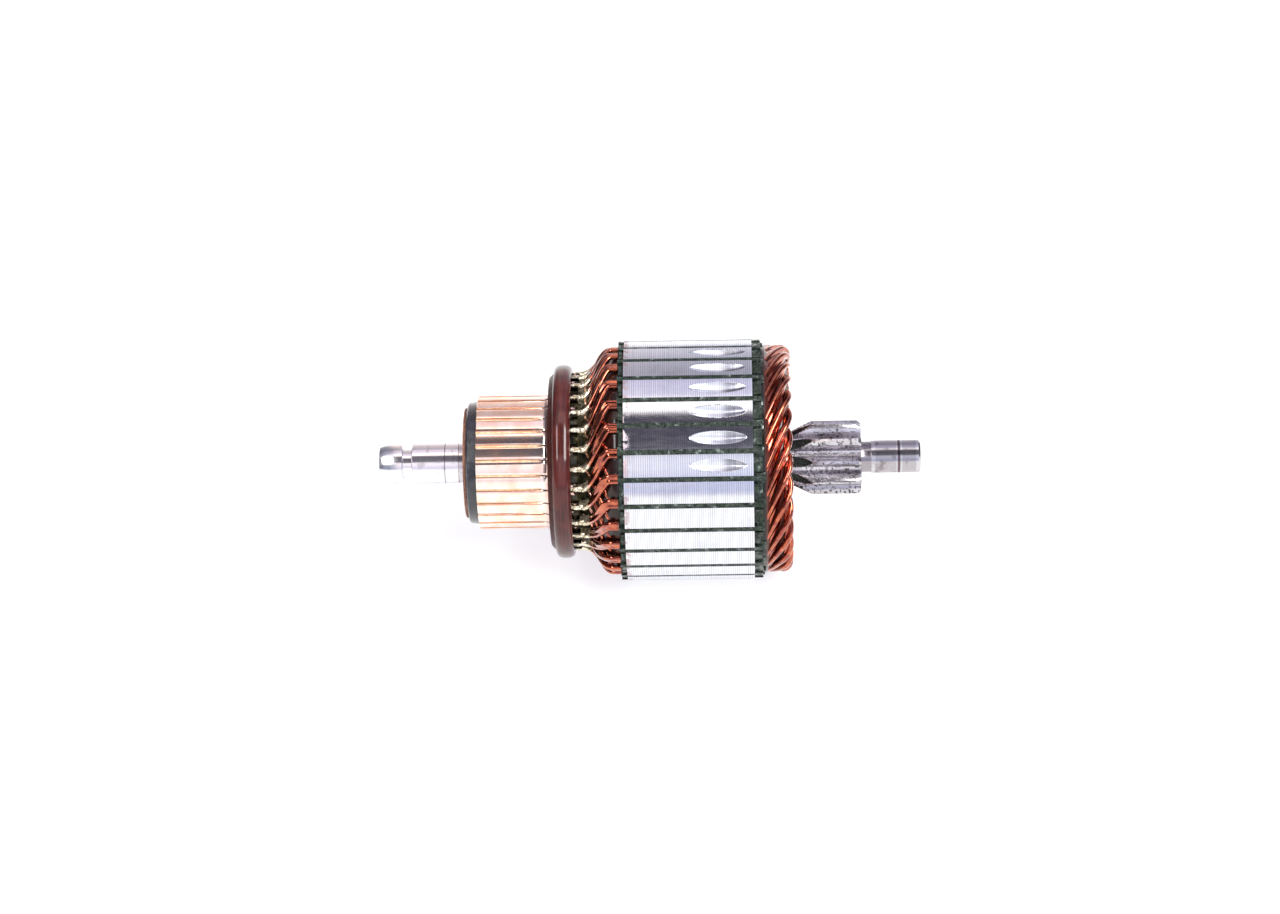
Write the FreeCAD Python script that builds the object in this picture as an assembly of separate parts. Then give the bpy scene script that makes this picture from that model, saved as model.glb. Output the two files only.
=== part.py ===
# A wound motor armature, lying on its side with its shaft along X.
# The origin is on the shaft's axis, in the middle of the journal at the commutator end.
# +X runs along the shaft towards the pinion, and +Z is up.
import FreeCAD, Part
import math
import os

os.makedirs("parts", exist_ok=True)

# Shaft, from the commutator end to the drive end.
stub_length = 5.5
stub_dia = 9.25
stub_taper_length = 1.9
stub_taper_depth = 0.55
clip_groove_width = 2.2
clip_groove_dia = 6.9
journal_length = 10.9
journal_dia = 9.5
relief_length = 1.55
relief_dia = 9.1
commutator_seat_dia = 10.0
core_seat_dia = 12.0
core_seat_overrun = 1.2
neck_length = 2.3
neck_dia = 7.2
drive_journal_length = 11.2
drive_journal_dia = 7.7
end_chamfer = 0.5

# Pinion, cut in the shaft: standard teeth on a 25 degree pressure angle.
pinion_teeth = 10
pinion_module = 1.44
pressure_angle = 25.0
pinion_root_dia = 11.0
pinion_gap_from_core = 7.45
pinion_length = 17.7
pinion_bevel_slope = 0.5
pinion_chamfer = 0.7
pinion_turn = 153.5
flank_lift = 0.11

# Lamination stack. One slot opens straight down, so the stack rests steadily.
slot_count = 28
core_dia = 56.0
core_length = 29.5
slot_mouth = 1.2
slot_lip = 1.165
commutator_to_core = 10.6

# Balance cuts, milled with a round-edged disc into neighbouring teeth.
balance_cuts = 6
balance_cut_length = 13.1
balance_cut_width = 3.2
balance_cut_depth = 1.1
balance_cut_offset = 6.8
balance_shoulder_width = 1.76
balance_shoulder_rise = 0.33
first_balance_cut = 147.86

# Slot insulation.
liner_thickness = 0.2
liner_play = 0.05
liner_recess = 0.15
liner_overhang = 0.3
end_insulator_step = 0.5
commutator_end_insulator_thickness = 1.1
drive_end_insulator_thickness = 2.0

# Coils: one turn of two wires side by side, outer leg and inner leg five slots apart.
# The rolls are in degrees: the pair twists one wire under the other on its way to the nose.
wire_dia = 1.17
furrow_depth = 0.32
layer_gap = 0.2
coil_span = 5
coil_side_play = 0.015
bend_radius = 1.0
bend_roll = 24.0
nose_roll = 75.0
drive_lead_straight = 0.05
lead_straight = 3.2
inner_lead_straight = 1.6
riser_straight = 0.8

# Commutator.
track_dia = 31.4
track_length = 16.8
bar_depth = 3.4
bar_shift = 9.0
mica_thickness = 0.4
undercut_width = 0.9
undercut_depth = 0.6
riser_dia = 41.4
riser_length = 6.9
riser_width = 2.7
riser_bevel = 1.0
riser_slot_play = 0.02
outer_bar_step = 1
bar_pitch = 9
hub_front_dia = 28.6
hub_front_length = 2.4
washer_dia = 25.6
washer_thickness = 0.8
band_wall = 1.9
band_width = 4.2
band_round = 1.2
band_setback = 1.0

# Places along the shaft.
journal_end = journal_length / 2
groove_start = -journal_end - clip_groove_width
shaft_start = groove_start - stub_length
washer_start = journal_end + relief_length
hub_start = washer_start + washer_thickness
track_start = hub_start + hub_front_length
riser_start = track_start + track_length
riser_end = riser_start + riser_length
core_start = riser_end + commutator_to_core
core_end = core_start + core_length
pinion_start = core_end + pinion_gap_from_core
pinion_end = pinion_start + pinion_length
drive_journal_start = pinion_end + neck_length
shaft_end = drive_journal_start + drive_journal_length + end_chamfer

# Radii of the winding, the slot and the bars.
pitch_angle = 360.0 / slot_count
slot_down = 270.0
core_radius = core_dia / 2
bar_inner_dia = track_dia - 2 * bar_depth
slot_half_width = wire_dia + liner_play + liner_thickness
slot_top = core_radius - slot_lip
outer_leg_radius = slot_top - liner_thickness - liner_play - wire_dia / 2
inner_leg_radius = outer_leg_radius - wire_dia - layer_gap
slot_bottom = inner_leg_radius - wire_dia / 2 - liner_play - liner_thickness


def point(x, radius, angle):
    """A point at a place along the shaft, a radius and an angle from +Y towards +Z."""
    turn = math.radians(angle)
    return FreeCAD.Vector(x, radius * math.cos(turn), radius * math.sin(turn))


def across(x, radius, offset, angle):
    """A point at a radius on a spoke, then moved sideways by offset, square to the spoke."""
    turn = math.radians(angle)
    side = FreeCAD.Vector(0, -math.sin(turn), math.cos(turn))
    height = math.sqrt(radius ** 2 - offset ** 2)
    return FreeCAD.Vector(x, height * math.cos(turn), height * math.sin(turn)) + side * offset


def level(x, height, offset, angle):
    """A point at a height along a spoke and an offset square to it."""
    turn = math.radians(angle)
    spoke = FreeCAD.Vector(0, math.cos(turn), math.sin(turn))
    side = FreeCAD.Vector(0, -math.sin(turn), math.cos(turn))
    return FreeCAD.Vector(x, 0, 0) + spoke * height + side * offset


def turned(profile):
    """A solid of revolution about the shaft's axis, from (x, radius) pairs."""
    corners = [FreeCAD.Vector(x, 0, radius) for x, radius in profile]
    face = Part.Face(Part.makePolygon(corners + corners[:1]))
    return face.revolve(FreeCAD.Vector(0, 0, 0), FreeCAD.Vector(1, 0, 0), 360)


def tube(start, end, outer_radius, inner_radius):
    """A plain tube on the shaft's axis."""
    return turned([(start, inner_radius), (end, inner_radius), (end, outer_radius), (start, outer_radius)])


def arc_through(x, radius, start_angle, end_angle):
    """An arc about the shaft's axis."""
    middle = point(x, radius, (start_angle + end_angle) / 2)
    return Part.Arc(point(x, radius, start_angle), middle, point(x, radius, end_angle)).toShape()


def line(start, end):
    return Part.LineSegment(start, end).toShape()


def chain(points):
    """Straight edges through the points in turn."""
    return [line(a, b) for a, b in zip(points, points[1:])]


def extruded(edges, length):
    """A solid drawn out along +X from a closed loop of edges."""
    return Part.Face(Part.Wire(edges)).extrude(FreeCAD.Vector(length, 0, 0))


def ring_of(shape, count, step):
    """Copies of a shape, turned about the shaft's axis."""
    return [shape.copy().rotate(FreeCAD.Vector(0, 0, 0), FreeCAD.Vector(1, 0, 0), i * step)
            for i in range(count)]


def involute_angle(radius, base_radius):
    """The involute function, in degrees, at a radius."""
    pressure = math.acos(min(1.0, base_radius / radius))
    return math.degrees(math.tan(pressure) - pressure)


def pinion_blank():
    """The turned outline that the teeth are cut from, with its long bevel on the winding side."""
    root = pinion_root_dia / 2
    tip = pinion_module * (pinion_teeth + 2) / 2
    bevel_length = (tip - root) / pinion_bevel_slope
    return turned([(pinion_start, 0), (pinion_start, root), (pinion_start + bevel_length, tip),
                   (pinion_end - pinion_chamfer, tip), (pinion_end, tip - pinion_chamfer),
                   (pinion_end, 0)])


def pinion_section():
    """The closed outline of all the teeth: a tip, two involute flanks and a root for each."""
    tip = pinion_module * (pinion_teeth + 2) / 2
    pitch = pinion_module * pinion_teeth / 2
    root = pinion_root_dia / 2
    base = pitch * math.cos(math.radians(pressure_angle))
    flank_foot = max(base, root + flank_lift)
    half_at_pitch = 90.0 / pinion_teeth + involute_angle(pitch, base)
    middle = (flank_foot + tip) / 2

    def half_angle(radius):
        return half_at_pitch - involute_angle(radius, base)

    edges = []
    step = 360.0 / pinion_teeth
    for i in range(pinion_teeth):
        centre = pinion_turn + i * step
        rise = [point(pinion_start, r, centre - half_angle(r)) for r in (flank_foot, middle, tip)]
        fall = [point(pinion_start, r, centre + half_angle(r)) for r in (tip, middle, flank_foot)]
        foot = half_angle(flank_foot)
        edges.append(line(point(pinion_start, root, centre - foot), rise[0]))
        edges.append(Part.Arc(*rise).toShape())
        edges.append(arc_through(pinion_start, tip, centre - half_angle(tip), centre + half_angle(tip)))
        edges.append(Part.Arc(*fall).toShape())
        edges.append(line(fall[-1], point(pinion_start, root, centre + foot)))
        edges.append(arc_through(pinion_start, root, centre + foot, centre + step - foot))
    return edges


def shaft():
    """The shaft and its pinion, turned and cut from one bar."""
    seat_end = core_end + drive_end_insulator_thickness + core_seat_overrun
    body = turned([
        (shaft_start, 0), (shaft_start, stub_dia / 2 - stub_taper_depth),
        (shaft_start + stub_taper_length, stub_dia / 2), (groove_start, stub_dia / 2),
        (groove_start, clip_groove_dia / 2), (-journal_end, clip_groove_dia / 2),
        (-journal_end, journal_dia / 2), (journal_end, journal_dia / 2),
        (journal_end, relief_dia / 2), (washer_start, relief_dia / 2),
        (washer_start, commutator_seat_dia / 2), (riser_end, commutator_seat_dia / 2),
        (riser_end, core_seat_dia / 2), (seat_end, core_seat_dia / 2),
        (seat_end, pinion_root_dia / 2), (pinion_end, pinion_root_dia / 2),
        (pinion_end, neck_dia / 2), (drive_journal_start, neck_dia / 2),
        (drive_journal_start, drive_journal_dia / 2),
        (shaft_end - end_chamfer, drive_journal_dia / 2),
        (shaft_end, drive_journal_dia / 2 - end_chamfer), (shaft_end, 0)])
    teeth = extruded(pinion_section(), pinion_length).common(pinion_blank())
    return body.fuse(teeth).removeSplitter()


def slot_side(x, angle, mouth_radius, side):
    """One side of a slot's outline, from the mouth to the bottom."""
    return [across(x, mouth_radius, side * slot_mouth / 2, angle),
            level(x, slot_top, side * slot_mouth / 2, angle),
            level(x, slot_top, side * slot_half_width, angle),
            level(x, slot_bottom, side * slot_half_width, angle)]


def balance_cutter(angle):
    """The edge of the milling disc, sunk into one tooth. Its rounding is drawn as flats."""
    half = balance_cut_width / 2
    sweep = (balance_cut_depth ** 2 + balance_cut_length ** 2 / 4) / (2 * balance_cut_depth)
    middle = core_start + core_length / 2 + balance_cut_offset
    centre = level(middle, core_radius - balance_cut_depth + sweep, 0, angle)
    spoke = level(0, 1, 0, angle)
    side = level(0, 0, 1, angle)
    shoulder = balance_shoulder_width / 2
    rim = [(-half, balance_cut_depth), (-shoulder, balance_shoulder_rise), (0, 0),
           (shoulder, balance_shoulder_rise), (half, balance_cut_depth)]
    edge = [centre - spoke * (sweep - rise) + side * offset for offset, rise in rim]
    hub = [centre + side * half, centre - side * half]
    face = Part.Face(Part.makePolygon(edge + hub + edge[:1]))
    return face.revolve(centre, side, 360)


def lamination_stack():
    """The stack of sheets: teeth, slots and the bore, less the balance cuts."""
    edges = []
    for i in range(slot_count):
        angle = slot_down + i * pitch_angle
        down = slot_side(core_start, angle, core_radius, -1)
        up = slot_side(core_start, angle, core_radius, 1)[::-1]
        edges += chain(down + up)
        next_mouth = slot_side(core_start, angle + pitch_angle, core_radius, -1)[0]
        crown = point(core_start, core_radius, angle + pitch_angle / 2)
        edges.append(Part.Arc(up[-1], crown, next_mouth).toShape())
    stack = extruded(edges, core_length).cut(tube(core_start, core_end, core_seat_dia / 2, 0))
    for i in range(balance_cuts):
        stack = stack.cut(balance_cutter(first_balance_cut - i * pitch_angle))
    return stack


def end_insulator(start, thickness):
    """A fibre sheet with open slots, against one face of the stack."""
    radius = core_radius - end_insulator_step
    corners = []
    for i in range(slot_count):
        angle = slot_down + i * pitch_angle
        corners += [across(start, radius, -slot_half_width, angle),
                    level(start, slot_bottom, -slot_half_width, angle),
                    level(start, slot_bottom, slot_half_width, angle),
                    across(start, radius, slot_half_width, angle)]
    sheet = extruded(chain(corners + corners[:1]), thickness)
    return sheet.cut(tube(start, start + thickness, core_seat_dia / 2, 0))


def slot_liner():
    """A liner folded round one slot's wires, with a ridge that closes the mouth."""
    start = core_start - commutator_end_insulator_thickness - liner_overhang
    end = core_end + drive_end_insulator_thickness
    mouth = core_radius - liner_recess
    outline = slot_side(start, slot_down, mouth, -1) + slot_side(start, slot_down, mouth, 1)[::-1]
    liner = extruded(chain(outline + outline[:1]), end - start)
    room = slot_half_width - liner_thickness
    ceiling = slot_top - liner_thickness
    floor = slot_bottom + liner_thickness
    hollow = [level(start, ceiling, -room, slot_down), level(start, floor, -room, slot_down),
              level(start, floor, room, slot_down), level(start, ceiling, room, slot_down)]
    return liner.cut(extruded(chain(hollow + hollow[:1]), end - start))


def smooth(t):
    """Rises from 0 to 1 with no slope at either end."""
    return t * t * (3 - 2 * t)


def lead_stations(exit_x, leg_radius, riser_radius, shift, samples):
    """A lead's way from the slot to the riser: it drops, turns and stands the wires on edge."""
    arrive = riser_end + riser_straight
    stations = []
    for i in range(samples + 1):
        t = i / samples
        x = exit_x + (arrive - exit_x) * t
        radius = leg_radius + (riser_radius - leg_radius) * smooth(t)
        stations.append((x, radius, shift * smooth(t), 90.0 * smooth(t), 0.0))
    stations.append((riser_start + band_setback, riser_radius, shift, 90.0, 0.0))
    return stations


def outer_pair_radius(roll):
    """Where the outer layer's middle lies, so that its upper wire keeps the outer leg's radius."""
    return outer_leg_radius - wire_dia / 2 * math.sin(math.radians(roll))


def inner_pair_radius(roll):
    """Where the inner layer's middle lies, so that it clears the lower wire of the outer layer."""
    lower_wire = outer_leg_radius - wire_dia * math.sin(math.radians(roll))
    return lower_wire - wire_dia - layer_gap - wire_dia / 2 * math.sin(math.radians(roll))


def coil_stations():
    """The coil's centre line: x, radius, angle from the outer slot, roll and tilt of its outer side."""
    half_span = coil_span * pitch_angle / 2
    outer_riser = riser_dia / 2 - wire_dia - riser_slot_play
    inner_riser = outer_riser - 2 * wire_dia
    outer_shift = outer_bar_step * pitch_angle + bar_shift
    inner_shift = outer_shift - bar_pitch * pitch_angle + 2 * half_span
    exit_outer = core_start - lead_straight
    exit_inner = core_start - inner_lead_straight
    outer = lead_stations(exit_outer, outer_leg_radius, outer_riser, outer_shift, 3)[::-1]

    pair_width = wire_dia * (1 + math.cos(math.radians(bend_roll)))
    slant_turn = math.acos((pair_width + coil_side_play) / (outer_leg_radius * math.radians(pitch_angle)))
    slant = math.tan(slant_turn)
    nose_top = outer_pair_radius(nose_roll)
    nose_radius = (nose_top - inner_pair_radius(nose_roll)) / 2
    nose_middle = nose_top - nose_radius
    fold_sweep = math.degrees(nose_radius * math.pi / 2 * slant / nose_middle)
    run_sweep = half_span - fold_sweep
    bend_side = bend_radius * (1 - math.cos(slant_turn))
    bend_sweep = math.degrees(bend_side / outer_leg_radius)
    bend_x = core_end + drive_end_insulator_thickness + drive_lead_straight
    run_x = bend_x + bend_radius * math.sin(slant_turn)
    fold_x = run_x + math.radians(run_sweep - bend_sweep) * nose_top / slant

    middle_roll = (bend_roll + nose_roll) / 2
    outer += [(bend_x, outer_leg_radius, 0.0, 0.0, 0.0),
              (run_x, outer_pair_radius(bend_roll), -bend_sweep, -bend_roll, 0.0),
              ((run_x + fold_x) / 2, outer_pair_radius(middle_roll), -(bend_sweep + run_sweep) / 2,
               -middle_roll, 0.0)]
    fold = []
    for tilt in (0.0, 60.0, 120.0, 180.0):
        turn = math.radians(tilt)
        fold.append((fold_x + nose_radius * math.sin(turn), nose_middle + nose_radius * math.cos(turn),
                     -run_sweep - fold_sweep * tilt / 90.0, -nose_roll, tilt))
    nose_side = run_sweep + 2 * fold_sweep
    share = (run_x - bend_x) / (fold_x - bend_x)
    inner_side = 2 * half_span - (2 * half_span - nose_side) * share
    inner = [(run_x, inner_pair_radius(bend_roll), -inner_side, -bend_roll, 180.0),
             (bend_x - drive_lead_straight, inner_leg_radius, -2 * half_span, 0.0, 180.0)]
    back = [(x, r, a - 2 * half_span, 180.0 - roll, 0.0)
            for x, r, a, roll, tilt in lead_stations(exit_inner, inner_leg_radius, inner_riser, inner_shift, 2)]
    return outer + fold + inner + back


def coil():
    """One turn of two touching wires, drawn as one bar with a furrow between them on its outer side."""
    stations = coil_stations()
    places = [point(x, r, slot_down + a) for x, r, a, roll, tilt in stations]
    half = wire_dia / 2
    furrow = half - furrow_depth
    section = [(-wire_dia, 0), (-half, half), (0, furrow), (half, half), (wire_dia, 0), (0, -half)]
    rings = []
    for i, (x, r, a, roll, tilt) in enumerate(stations):
        ahead = places[min(i + 1, len(places) - 1)]
        behind = places[max(i - 1, 0)]
        along = (ahead - behind).normalize()
        spoke = point(0, 1, slot_down + a)
        lean = math.radians(tilt)
        outward = spoke * math.cos(lean) + FreeCAD.Vector(1, 0, 0) * math.sin(lean)
        side = along.cross(outward).normalize()
        up = side.cross(along).normalize()
        spin = math.radians(roll)
        wide = side * math.cos(spin) + up * math.sin(spin)
        tall = up * math.cos(spin) - side * math.sin(spin)
        rings.append([places[i] + wide * u + tall * v for u, v in section])
    return faceted(rings)


def faceted(rings):
    """A closed solid with flat faces, through rings of corners."""
    count = len(rings[0])
    loops = [rings[0][::-1], rings[-1]]
    for near, far in zip(rings, rings[1:]):
        for i in range(count):
            j = (i + 1) % count
            loops.append([near[i], near[j], far[j]])
            loops.append([near[i], far[j], far[i]])
    faces = [Part.Face(Part.makePolygon(loop + loop[:1])) for loop in loops]
    shell = Part.makeShell(faces)
    shell.sewShape()
    return Part.Solid(shell)


def bar_corner(x, height, half_gap, side, angle):
    """A corner of a bar at a height on its spoke, beside the gap to the next bar."""
    half_pitch = math.radians(pitch_angle / 2)
    along_gap = (height - half_gap * math.sin(half_pitch)) / math.cos(half_pitch)
    return level(x, along_gap, -side * half_gap, angle + side * pitch_angle / 2)


def bar_track(angle):
    """The part of a bar that the brushes run on, with undercut edges and a round top."""
    track = track_dia / 2
    floor = track - undercut_depth
    narrow = mica_thickness / 2
    wide = undercut_width / 2
    low = [bar_corner(track_start, bar_inner_dia / 2, narrow, -1, angle),
           bar_corner(track_start, floor, narrow, -1, angle),
           bar_corner(track_start, floor, wide, -1, angle),
           across(track_start, track, wide, angle - pitch_angle / 2)]
    high = [across(track_start, track, -wide, angle + pitch_angle / 2),
            bar_corner(track_start, floor, wide, 1, angle),
            bar_corner(track_start, floor, narrow, 1, angle),
            bar_corner(track_start, bar_inner_dia / 2, narrow, 1, angle)]
    crown = Part.Arc(low[-1], point(track_start, track, angle), high[0]).toShape()
    return extruded(chain(low) + [crown] + chain(high + low[:1]), track_length)


def bar_riser(angle):
    """The part of a bar that stands up behind the track, slotted for four wire ends."""
    top = riser_dia / 2
    foot = track_dia / 2 - undercut_depth
    half = riser_width / 2
    slot_half = wire_dia / 2 + riser_slot_play
    slot_floor = top - 4 * wire_dia - 2 * riser_slot_play
    narrow = mica_thickness / 2
    low = [bar_corner(riser_start, bar_inner_dia / 2, narrow, -1, angle),
           bar_corner(riser_start, foot, narrow, -1, angle), level(riser_start, foot, -half, angle),
           across(riser_start, top, -half, angle), across(riser_start, top, -slot_half, angle),
           level(riser_start, slot_floor, -slot_half, angle)]
    high = [level(riser_start, slot_floor, slot_half, angle), across(riser_start, top, slot_half, angle),
            across(riser_start, top, half, angle), level(riser_start, foot, half, angle),
            bar_corner(riser_start, foot, narrow, 1, angle),
            bar_corner(riser_start, bar_inner_dia / 2, narrow, 1, angle)]
    block = extruded(chain(low + high + low[:1]), riser_length)
    bevel = [level(riser_start, top - riser_bevel, -half, angle), level(riser_start, top, -half, angle),
             level(riser_start + riser_bevel, top, -half, angle)]
    wedge = Part.Face(Part.makePolygon(bevel + bevel[:1])).extrude(level(0, 0, riser_width, angle))
    return block.cut(wedge)


def commutator_bar():
    """One copper bar, track and riser in one piece."""
    angle = slot_down + bar_shift
    return bar_track(angle).fuse(bar_riser(angle)).removeSplitter()


def mica_segment():
    """The strip between two bars, lower than the track where it was undercut."""
    angle = slot_down + bar_shift + pitch_angle / 2
    half = mica_thickness / 2
    inner = bar_inner_dia / 2 / math.cos(math.radians(pitch_angle / 2))
    floor = track_dia / 2 - undercut_depth
    corners = [level(track_start, inner, -half, angle), across(track_start, floor, -half, angle),
               across(track_start, floor, half, angle), level(track_start, inner, half, angle)]
    return extruded(chain(corners + corners[:1]), track_length + riser_length)


def commutator_hub():
    """The moulding under the bars, flat under each one, with the shoulder that shows in front of them."""
    bore = commutator_seat_dia / 2
    corner = bar_inner_dia / 2 / math.cos(math.radians(pitch_angle / 2))
    first = slot_down + bar_shift + pitch_angle / 2
    corners = [point(track_start, corner, first + i * pitch_angle) for i in range(slot_count)]
    core = extruded(chain(corners + corners[:1]), riser_end - track_start)
    shoulder = tube(hub_start, track_start, hub_front_dia / 2, 0)
    return core.fuse(shoulder).cut(tube(hub_start, riser_end, bore, 0))


def front_washer():
    """The insulating washer in front of the hub."""
    return tube(washer_start, hub_start, washer_dia / 2, commutator_seat_dia / 2)


def riser_band():
    """The band round the risers, with its shoulders taken off."""
    start = riser_start + band_setback
    end = start + band_width
    inner = riser_dia / 2
    outer = inner + band_wall
    return turned([(start, inner), (start, outer - band_round), (start + band_round, outer),
                   (end - band_round, outer), (end, outer - band_round), (end, inner)])


def write(name, shapes):
    """One STEP file for each node, holding its solids."""
    solids = [solid for shape in shapes for solid in shape.Solids]
    node = solids[0] if len(solids) == 1 else Part.makeCompound(solids)
    node.exportStep("parts/" + name + ".step")


if __name__ == "__main__":
    write("shaft", [shaft()])
    write("lamination_stack", [lamination_stack()])
    write("commutator_end_insulator", [end_insulator(core_start - commutator_end_insulator_thickness,
                                                     commutator_end_insulator_thickness)])
    write("drive_end_insulator", [end_insulator(core_end, drive_end_insulator_thickness)])
    write("slot_liners", ring_of(slot_liner(), slot_count, pitch_angle))
    write("commutator_bars", ring_of(commutator_bar(), slot_count, pitch_angle))
    write("mica_segments", ring_of(mica_segment(), slot_count, pitch_angle))
    write("commutator_hub", [commutator_hub()])
    write("front_washer", [front_washer()])
    write("riser_band", [riser_band()])
    for i, turn in enumerate(ring_of(coil(), slot_count, pitch_angle)):
        write("coil_%02d" % (i + 1), [turn])
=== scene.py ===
import bpy
import math
import random
from mathutils import Matrix, Vector, noise


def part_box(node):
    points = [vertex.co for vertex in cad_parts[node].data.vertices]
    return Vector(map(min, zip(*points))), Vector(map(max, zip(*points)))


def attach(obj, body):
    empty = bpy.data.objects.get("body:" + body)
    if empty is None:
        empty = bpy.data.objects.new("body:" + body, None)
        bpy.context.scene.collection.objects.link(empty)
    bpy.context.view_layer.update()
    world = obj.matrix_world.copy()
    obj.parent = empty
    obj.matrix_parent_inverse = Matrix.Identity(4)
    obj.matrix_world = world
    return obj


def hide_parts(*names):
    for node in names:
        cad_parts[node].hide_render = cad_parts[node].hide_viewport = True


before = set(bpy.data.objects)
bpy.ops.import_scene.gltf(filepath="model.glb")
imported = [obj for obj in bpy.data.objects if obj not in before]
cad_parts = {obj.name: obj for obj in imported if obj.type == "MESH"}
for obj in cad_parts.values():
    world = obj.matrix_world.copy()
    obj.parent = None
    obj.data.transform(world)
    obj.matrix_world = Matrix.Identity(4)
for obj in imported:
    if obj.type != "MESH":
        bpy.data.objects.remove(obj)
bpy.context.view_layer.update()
mm = 0.001


# Stage: a white table that runs out of view, and the light of a studio round it. A long lamp hangs
# over the armature, the room in front of it is dark, and the wall behind is pale. The light is
# warmer on the commutator's side, and a tall window stands on either side.

class Shade:
    """One socket of a shader. Python sums on it add the nodes that work them out."""

    def __init__(self, tree, socket=None):
        self.tree = tree
        self.socket = socket

    def add(self, kind, settings=None, sockets=None, out=0):
        """Any node: its type, its settings, and the values or links of its sockets."""
        node = self.tree.nodes.new("ShaderNode" + kind)
        for name, value in (settings or {}).items():
            if name == "stops":
                ramp = node.color_ramp
                while len(ramp.elements) < len(value):
                    ramp.elements.new(0.5)
                for element, (place, colour) in zip(ramp.elements, value):
                    element.position = place
                    element.color = (*colour, 1.0)
            else:
                setattr(node, name, value)
        for name, value in (sockets or {}).items():
            if isinstance(value, Shade):
                self.tree.links.new(value.socket, node.inputs[name])
            elif isinstance(value, tuple) and len(value) == 3 and node.inputs[name].type == "RGBA":
                node.inputs[name].default_value = (*value, 1.0)
            else:
                node.inputs[name].default_value = value
        return Shade(self.tree, node.outputs[out]) if node.outputs else node

    def sum(self, operation, first, second):
        """Maths on two numbers, or on two colours or vectors where one of them is one."""
        colours = any(isinstance(v, tuple)
                      or isinstance(v, Shade) and v.socket.type in ("RGBA", "VECTOR")
                      for v in (first, second))
        if not colours:
            return self.add("Math", {"operation": operation}, {0: first, 1: second})
        spread = [v if isinstance(v, (Shade, tuple)) else (v, v, v) for v in (first, second)]
        return self.add("VectorMath", {"operation": operation}, {0: spread[0], 1: spread[1]})

    def __add__(self, other):
        return self.sum("ADD", self, other)

    def __sub__(self, other):
        return self.sum("SUBTRACT", self, other)

    def __rsub__(self, other):
        return self.sum("SUBTRACT", other, self)

    def __mul__(self, other):
        return self.sum("MULTIPLY", self, other)

    def __truediv__(self, other):
        return self.sum("DIVIDE", self, other)

    def math(self, operation, *others):
        values = {0: self}
        values.update((i + 1, v) for i, v in enumerate(others))
        return self.add("Math", {"operation": operation}, values)

    def ease(self, low, high):
        """Goes smoothly from 0 to 1 while this value goes from low to high."""
        return self.add("MapRange", {"interpolation_type": "SMOOTHSTEP"},
                        {"Value": self, "From Min": low, "From Max": high})

    def mix(self, first, second):
        """First where this value is 0, second where it is 1, as a colour."""
        return self.add("Mix", {"data_type": "RGBA"}, {0: self, 6: first, 7: second}, out=2)

    def part(self, axis):
        return self.add("SeparateXYZ", {}, {0: self}, out="XYZ".index(axis))

    def noise(self, scale, detail=3.0, rough=0.5):
        return self.add("TexNoise", {"noise_dimensions": "3D"},
                        {"Vector": self, "Scale": scale, "Detail": detail, "Roughness": rough})


def material(name):
    """A new material with an empty tree: its shading start, and a call that closes it and gives it."""
    made = bpy.data.materials.new(name)
    made.use_nodes = True
    made.node_tree.nodes.clear()
    start = Shade(made.node_tree)

    def close(surface):
        start.add("OutputMaterial", {}, {"Surface": surface})
        return made

    return start, close


world = bpy.data.worlds.new("studio")
bpy.context.scene.world = world
world.use_nodes = True
world.node_tree.nodes.clear()
air = Shade(world.node_tree)
look = air.add("TexCoord", out=0)
swing = look.part("Z").math("ARCTAN2", look.part("Y") * -1.0) * (180.0 / math.pi)
room_stops = [(0, (1.0, 1.0, 1.05)), (3, (0.62, 0.67, 0.90)), (16, (0.72, 0.77, 1.00)),
              (28, (0.90, 0.95, 1.12)), (39, (0.88, 0.92, 1.08)), (44, (0.07, 0.07, 0.10)),
              (79, (0.045, 0.04, 0.07)), (83, (1.5, 1.5, 1.55)), (94, (1.5, 1.5, 1.55)),
              (99, (0.74, 0.74, 0.95)), (116, (0.70, 0.70, 0.92)), (124, (0.40, 0.40, 0.48)),
              (150, (0.55, 0.55, 0.65)), (180, (0.92, 0.92, 1.0))]
room = swing.add("ValToRGB", {"stops": [(a / 180.0, c) for a, c in room_stops]}, {0: swing / 180.0})
aside = look.part("X")
side_stops = [(-1.0, (0.17, 0.17, 0.17)), (-0.62, (0.21, 0.21, 0.21)), (-0.45, (0.48, 0.48, 0.48)),
              (-0.26, (0.59, 0.59, 0.59)), (-0.16, (1.45, 1.25, 1.05)), (-0.10, (1.45, 1.25, 1.05)),
              (-0.09, (1.05, 1.02, 1.0)), (-0.078, (1.05, 1.02, 1.0)),
              (-0.072, (1.75, 1.45, 1.15)), (-0.047, (1.75, 1.45, 1.15)), (-0.042, (1.0, 1.0, 1.0)),
              (0.06, (1.0, 1.0, 1.0)), (0.12, (0.95, 0.95, 0.95)), (0.52, (0.95, 0.95, 0.95)),
              (0.62, (0.21, 0.21, 0.21)), (1.0, (0.17, 0.17, 0.17))]
brightest = 1.8
side = aside.add("ValToRGB", {"stops": [((a + 1) / 2, tuple(v / brightest for v in c))
                                        for a, c in side_stops]}, {0: aside * 0.5 + 0.5})
window_right_light = 14.0
window_left_light = 9.0
window = swing.ease(34, 40) * swing.ease(84, 76)
window_right = window * aside.ease(0.28, 0.32) * aside.ease(0.68, 0.64)
window_left = window * aside.ease(-0.30, -0.34) * aside.ease(-0.54, -0.50)
panes = window_right * window_right_light + window_left * window_left_light
panes = air.add("CombineXYZ", {}, {0: panes, 1: panes, 2: panes})
room = room * side * (brightest, brightest, brightest) + panes
air.add("OutputWorld", {}, {"Surface": air.add("Background", {}, {"Color": room, "Strength": 1.0})})

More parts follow.
